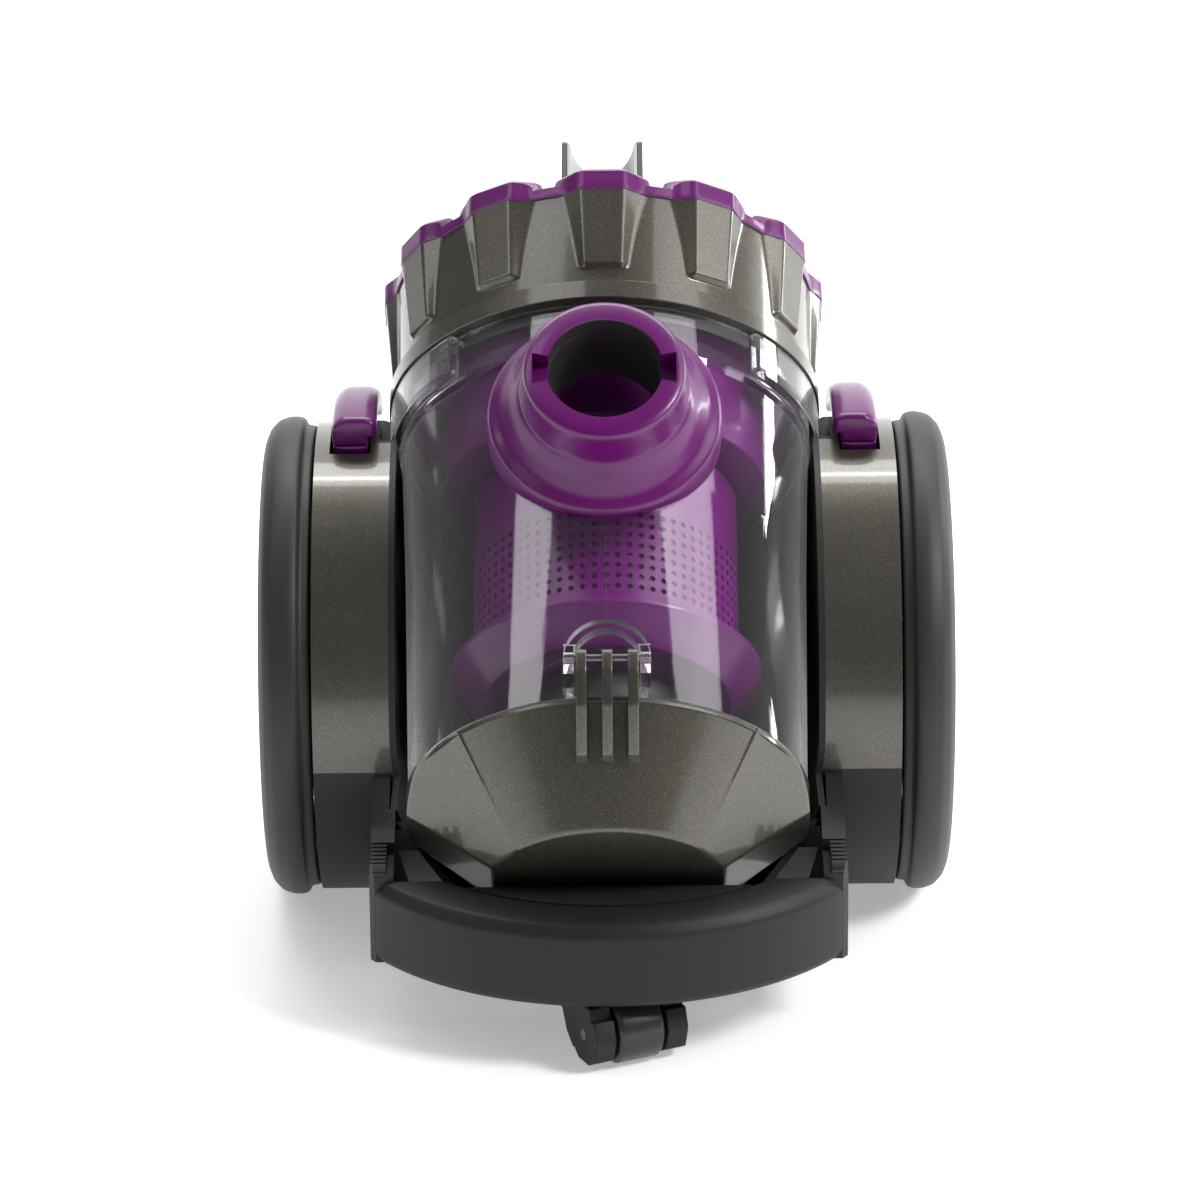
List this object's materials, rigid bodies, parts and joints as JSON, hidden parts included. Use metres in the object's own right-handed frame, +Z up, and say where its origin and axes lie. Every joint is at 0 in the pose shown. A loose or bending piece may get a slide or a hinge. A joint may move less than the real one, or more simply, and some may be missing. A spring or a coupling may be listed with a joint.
{
  "type": "canister vacuum cleaner",
  "caption": "Bagless canister vacuum cleaner: a clear cyclone bin leans back between large side wheels, with a lobed head, carry handle, hose inlet, pedals and a swivel caster.",
  "frame": {"origin": "on the floor, under the middle of the whole cleaner", "axes": "+Z up, -Y towards the nose and the hose inlet, +Y towards the exhaust, +X to the right seen from the front"},
  "size_m": [0.285, 0.3351, 0.3071],
  "materials": {
    "gunmetal_plastic": "gloss moulding with fine metallic flake",
    "base_plastic": "fine matte moulding",
    "pad_rubber": "matte",
    "clear_plastic": "clear, polished",
    "purple_plastic": "gloss moulding",
    "inner_plastic": "plain",
    "grip_plastic": "satin",
    "cheek_plastic": "satin",
    "tyre_rubber": "matte",
    "roller_plastic": "satin",
    "steel": "drawn",
    "motor_metal": "cast",
    "filter_foam": "open foam",
    "filter_paper": "pleated paper"
  },
  "bodies": {
    "body": {"body_shell": "gunmetal_plastic", "base_shell": "base_plastic", "arm_pads": "pad_rubber", "bumper": "base_plastic", "bin_cradle": "base_plastic", "caster_socket": "base_plastic", "wheel_axles": "steel", "pedal_pins": "steel", "power_spring": "steel", "rewind_spring": "steel", "spring_seats": "inner_plastic", "motor_case": "motor_metal", "motor_mount_left": "pad_rubber", "motor_mount_right": "pad_rubber", "reel_spindle": "steel", "circuit_board": "inner_plastic", "power_switch": "inner_plastic", "sponge_filter": "filter_foam", "hepa_filter": "filter_paper", "cord_outlet": "base_plastic", "intake_duct": "inner_plastic", "duct_seal": "pad_rubber", "shell_screws": "steel"},
    "left_wheel": {"tyre_left": "tyre_rubber", "wheel_disc_left": "gunmetal_plastic", "hub_cap_left": "purple_plastic"},
    "right_wheel": {"tyre_right": "tyre_rubber", "wheel_disc_right": "gunmetal_plastic", "hub_cap_right": "purple_plastic"},
    "caster": {"caster_fork": "base_plastic", "caster_axle": "steel"},
    "caster_roller": {"caster_wheel": "roller_plastic"},
    "bin": {"bin_cup": "clear_plastic", "inlet_port": "purple_plastic", "inlet_seal": "pad_rubber", "door_hinge_pin": "steel", "latch_pin": "steel"},
    "door": {"bin_door": "gunmetal_plastic", "door_gasket": "pad_rubber"},
    "latch": {"door_latch": "inner_plastic"},
    "head": {"head_shell": "gunmetal_plastic", "head_cap": "purple_plastic", "head_gasket": "pad_rubber", "handle_cheek_left": "cheek_plastic", "handle_cheek_right": "cheek_plastic", "handle_core": "grip_plastic", "separator_body": "purple_plastic", "shroud": "purple_plastic", "shroud_bowl": "purple_plastic", "dust_tube": "inner_plastic", "cyclone_block": "inner_plastic", "button_spring": "steel"},
    "button": {"release_button": "purple_plastic"},
    "power_control": {"power_pedal": "purple_plastic"},
    "rewind_control": {"rewind_pedal": "purple_plastic"},
    "rotor": {"motor_rotor": "steel", "fan_wheel": "inner_plastic"},
    "reel": {"cord_reel": "inner_plastic"},
    "vent_cover": {"exhaust_grille": "base_plastic"}
  },
  "joints": [
    {"name": "left_wheel_spin", "type": "hinge", "parent": "body", "child": "left_wheel", "pos_m": [-0.13, 0.0395, 0.1], "axis": [1, 0, 0], "continuous": true},
    {"name": "right_wheel_spin", "type": "hinge", "parent": "body", "child": "right_wheel", "pos_m": [0.13, 0.0395, 0.1], "axis": [1, 0, 0], "continuous": true},
    {"name": "caster_swivel", "type": "hinge", "parent": "body", "child": "caster", "pos_m": [0, -0.1325, 0.04], "axis": [0, 0, 1], "continuous": true},
    {"name": "caster_roll", "type": "hinge", "parent": "caster", "child": "caster_roller", "pos_m": [0.00761, -0.14881, 0.0135], "axis": [0.9063, 0.4226, 0], "continuous": true},
    {"name": "bin_lift", "type": "slide", "parent": "body", "child": "bin", "axis": [0, 0, 1], "range_m": [0, 0.2]},
    {"name": "door_swing", "type": "hinge", "parent": "bin", "child": "door", "pos_m": [0, -0.12583, 0.1594], "axis": [-1, 0, 0], "range_deg": [0, 46]},
    {"name": "latch_press", "type": "hinge", "parent": "bin", "child": "latch", "pos_m": [0, -0.02112, 0.02532], "axis": [1, 0, 0], "range_deg": [0, 6], "stiffness_Nm_per_rad": 0.6, "springref_deg": -5.73},
    {"name": "head_twist", "type": "hinge", "parent": "bin", "child": "head", "pos_m": [0, 0.07393, 0.20986], "axis": [0, 0.7771, 0.6293], "range_deg": [0, 12]},
    {"name": "button_press", "type": "slide", "parent": "head", "child": "button", "axis": [0, -0.7771, -0.6293], "range_m": [0, 0.0025], "stiffness_N_per_m": 600, "springref_m": -0.003, "deforming": ["button_spring"]},
    {"name": "power_press", "type": "hinge", "parent": "body", "child": "power_control", "pos_m": [0, 0.08931, 0.17972], "axis": [1, 0, 0], "range_deg": [0, 3], "stiffness_Nm_per_rad": 8, "springref_deg": -2.86, "deforming": ["power_spring"]},
    {"name": "rewind_press", "type": "hinge", "parent": "body", "child": "rewind_control", "pos_m": [0, 0.08931, 0.17972], "axis": [1, 0, 0], "range_deg": [0, 3], "stiffness_Nm_per_rad": 8, "springref_deg": -2.86, "deforming": ["rewind_spring"]},
    {"name": "rotor_spin", "type": "hinge", "parent": "body", "child": "rotor", "pos_m": [0, 0.0935, 0.056], "axis": [1, 0, 0], "continuous": true},
    {"name": "reel_spin", "type": "hinge", "parent": "body", "child": "reel", "pos_m": [-0.106, 0.0395, 0.1], "axis": [1, 0, 0], "continuous": true},
    {"name": "vent_open", "type": "hinge", "parent": "body", "child": "vent_cover", "pos_m": [0, 0.1645, 0.0345], "axis": [-1, 0, 0], "range_deg": [0, 60]}
  ],
  "couplings": [
    {"joint": "door_swing", "follows": "bin_lift", "rad_per_m": 4}
  ]
}
